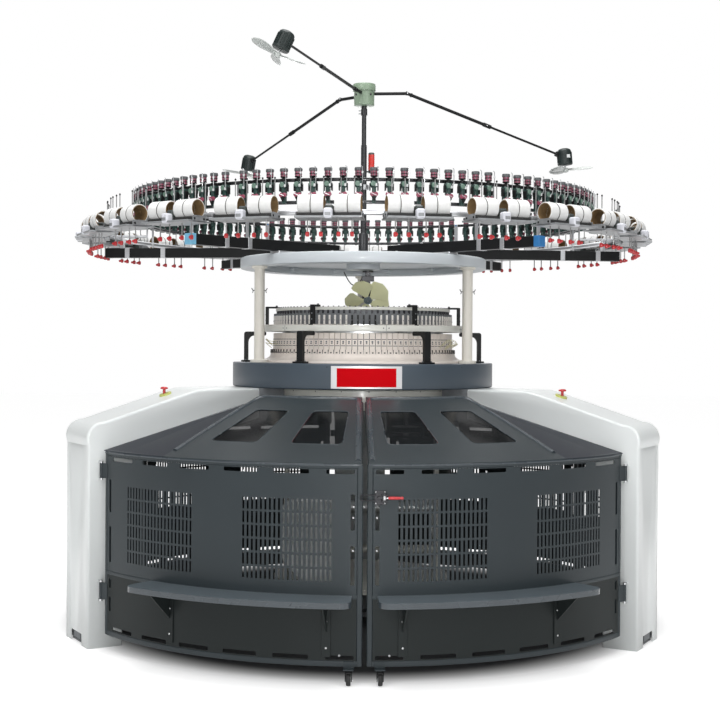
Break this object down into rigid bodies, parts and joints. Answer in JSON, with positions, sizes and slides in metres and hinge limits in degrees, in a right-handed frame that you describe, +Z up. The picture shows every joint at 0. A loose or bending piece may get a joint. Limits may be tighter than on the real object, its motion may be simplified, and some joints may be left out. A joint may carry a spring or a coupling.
{
  "type": "industrial circular knitting machine",
  "caption": "Large-diameter circular knitting machine on three legs, with guarded base, knitting head, yarn feeder ring, roll ring and blower mast.",
  "frame": {"origin": "on the axis of the round bed, at floor level", "axes": "+Z up along the needle cylinder axis, -Y towards the two front doors, +X to their right"},
  "size_m": [3.04, 3.2648, 2.8666],
  "materials": {
    "white_paint": "satin",
    "cast_grey": "rough",
    "yellow_plastic": "gloss",
    "red_plastic": "gloss",
    "slate_paint": "satin",
    "light_paint": "satin",
    "nameplate_red": "satin",
    "beige_paint": "satin",
    "cream_paint": "satin",
    "steel": "brushed",
    "black_paint": "satin",
    "clear_pane": "clear",
    "black_rubber": "matt",
    "dark_motor": "satin",
    "bright_tube": "satin",
    "red_lens": "gloss",
    "green_paint": "satin",
    "white_plastic": "matt",
    "lime_plastic": "matt",
    "green_plastic": "gloss",
    "burgundy_wheel": "gloss",
    "aluminium": "satin",
    "white_yarn": "fibrous"
  },
  "bodies": {
    "root": {"leg_covers": "white_paint", "leg_frames": "cast_grey", "levelling_feet": "cast_grey", "stop_button_bases": "yellow_plastic", "bed_ring": "slate_paint", "gear_housing": "light_paint", "blank_nameplate": "nameplate_red", "pillars": "beige_paint", "top_plate": "light_paint", "cam_saddle": "white_paint", "cam_sections": "cream_paint", "sinker_cam_ring": "light_paint", "yarn_guide_ring": "light_paint", "yarn_guides": "steel", "head_brackets": "black_paint", "hinge_pins": "steel", "rear_guard_frames": "slate_paint", "rear_guard_skins": "slate_paint", "rear_guard_windows": "clear_pane", "takedown_stand": "cast_grey", "drive_belt": "black_rubber", "drive_motor": "dark_motor", "mast": "bright_tube", "beacon": "red_lens", "centre_fan_motor": "black_paint", "ring_arms": "black_paint", "ring_rails": "black_paint", "feeder_bodies": "green_plastic", "feeder_wheels": "burgundy_wheel", "roll_cradles": "aluminium", "yarn_rolls": "white_yarn", "drive_rollers": "black_rubber", "yarn_stops": "red_plastic"},
    "door_right": {"door_right_frame": "slate_paint", "door_right_skin": "slate_paint", "door_right_windows": "clear_pane", "door_right_step": "slate_paint"},
    "door_left": {"door_left_frame": "slate_paint", "door_left_skin": "slate_paint", "door_left_windows": "clear_pane", "door_left_step": "slate_paint"},
    "caster_right_fork": {"caster_right_fork": "steel"},
    "caster_right_wheel": {"caster_right_wheel": "black_rubber"},
    "caster_left_fork": {"caster_left_fork": "steel"},
    "caster_left_wheel": {"caster_left_wheel": "black_rubber"},
    "latch_handle": {"latch_handle": "red_plastic"},
    "stop_button_left": {"stop_button_left": "red_plastic"},
    "stop_button_right": {"stop_button_right": "red_plastic"},
    "cylinder": {"needle_cylinder": "steel", "main_gear": "steel", "takedown_frame": "light_paint"},
    "roller_front": {"takedown_roller_front": "steel"},
    "roller_back": {"takedown_roller_back": "steel"},
    "drive_shaft": {"drive_shaft": "steel"},
    "motor_pulley": {"motor_pulley": "steel"},
    "fan_head": {"fan_head": "green_paint"},
    "fan_prop_front": {"fan_prop_front": "white_plastic"},
    "fan_prop_back": {"fan_prop_back": "white_plastic"},
    "fan_prop_right": {"fan_prop_right": "white_plastic"},
    "centre_fan_blades": {"centre_fan_blades": "lime_plastic"}
  },
  "joints": [
    {"name": "door_right_swing", "type": "hinge", "parent": "root", "child": "door_right", "pos_m": [1.22515, -0.9198, 0.5], "axis": [0, 0, 1], "range_deg": [0, 100]},
    {"name": "door_left_swing", "type": "hinge", "parent": "root", "child": "door_left", "pos_m": [-1.22515, -0.9198, 0.5], "axis": [0, 0, 1], "range_deg": [-100, 0]},
    {"name": "caster_right_swivel", "type": "hinge", "parent": "door_right", "child": "caster_right_fork", "pos_m": [0.06605, -1.54359, 0.06], "axis": [0, 0, 1], "continuous": true},
    {"name": "caster_right_roll", "type": "hinge", "parent": "caster_right_fork", "child": "caster_right_wheel", "pos_m": [0.06656, -1.55558, 0.0256], "axis": [0.9991, 0.0427, 0], "continuous": true},
    {"name": "caster_left_swivel", "type": "hinge", "parent": "door_left", "child": "caster_left_fork", "pos_m": [-0.06605, -1.54359, 0.06], "axis": [0, 0, 1], "continuous": true},
    {"name": "caster_left_roll", "type": "hinge", "parent": "caster_left_fork", "child": "caster_left_wheel", "pos_m": [-0.06656, -1.55558, 0.0256], "axis": [0.9991, -0.0427, 0], "continuous": true},
    {"name": "latch_lift", "type": "hinge", "parent": "door_right", "child": "latch_handle", "pos_m": [0.08149, -1.53824, 0.786], "axis": [0, 0, 1], "range_deg": [-110, 0]},
    {"name": "stop_button_left_press", "type": "slide", "parent": "root", "child": "stop_button_left", "axis": [0.2536, 0.1464, -0.9562], "range_m": [0, 0.004], "stiffness_N_per_m": 900, "springref_m": -0.003},
    {"name": "stop_button_right_press", "type": "slide", "parent": "root", "child": "stop_button_right", "axis": [-0.2536, 0.1464, -0.9562], "range_m": [0, 0.004], "stiffness_N_per_m": 900, "springref_m": -0.003},
    {"name": "cylinder_spin", "type": "hinge", "parent": "root", "child": "cylinder", "pos_m": [0, 0, 1.2], "axis": [0, 0, 1], "continuous": true},
    {"name": "roller_front_spin", "type": "hinge", "parent": "cylinder", "child": "roller_front", "pos_m": [0, -0.035, 0.56], "axis": [1, 0, 0], "continuous": true},
    {"name": "roller_back_spin", "type": "hinge", "parent": "cylinder", "child": "roller_back", "pos_m": [0, 0.035, 0.56], "axis": [1, 0, 0], "continuous": true},
    {"name": "drive_shaft_spin", "type": "hinge", "parent": "root", "child": "drive_shaft", "pos_m": [0.2553, 0.44219, 1], "axis": [0, 0, 1], "continuous": true},
    {"name": "motor_pulley_spin", "type": "hinge", "parent": "root", "child": "motor_pulley", "pos_m": [0.45, 0.77942, 0.95], "axis": [0, 0, 1], "continuous": true},
    {"name": "fan_head_spin", "type": "hinge", "parent": "root", "child": "fan_head", "pos_m": [0, 0, 2.5], "axis": [0, 0, 1], "continuous": true},
    {"name": "fan_prop_front_spin", "type": "hinge", "parent": "fan_head", "child": "fan_prop_front", "pos_m": [-0.40421, -1.08443, 2.74264], "axis": [-0.4059, -0.0638, -0.9117], "continuous": true},
    {"name": "fan_prop_back_spin", "type": "hinge", "parent": "fan_head", "child": "fan_prop_back", "pos_m": [-0.70388, 0.91652, 2.46573], "axis": [-0.1853, 0.2377, -0.9535], "continuous": true},
    {"name": "fan_prop_right_spin", "type": "hinge", "parent": "fan_head", "child": "fan_prop_right", "pos_m": [1.11606, 0.17121, 2.40377], "axis": [0.0871, 0.0174, -0.996], "continuous": true},
    {"name": "centre_fan_spin", "type": "hinge", "parent": "root", "child": "centre_fan_blades", "pos_m": [0.026, -0.01, 1.671], "axis": [0, -0.8572, -0.515], "continuous": true}
  ],
  "couplings": [
    {"joint": "drive_shaft_spin", "follows": "cylinder_spin", "ratio": -11.75},
    {"joint": "motor_pulley_spin", "follows": "cylinder_spin", "ratio": -18.8},
    {"joint": "roller_front_spin", "follows": "cylinder_spin", "ratio": 2},
    {"joint": "roller_back_spin", "follows": "cylinder_spin", "ratio": -2}
  ]
}
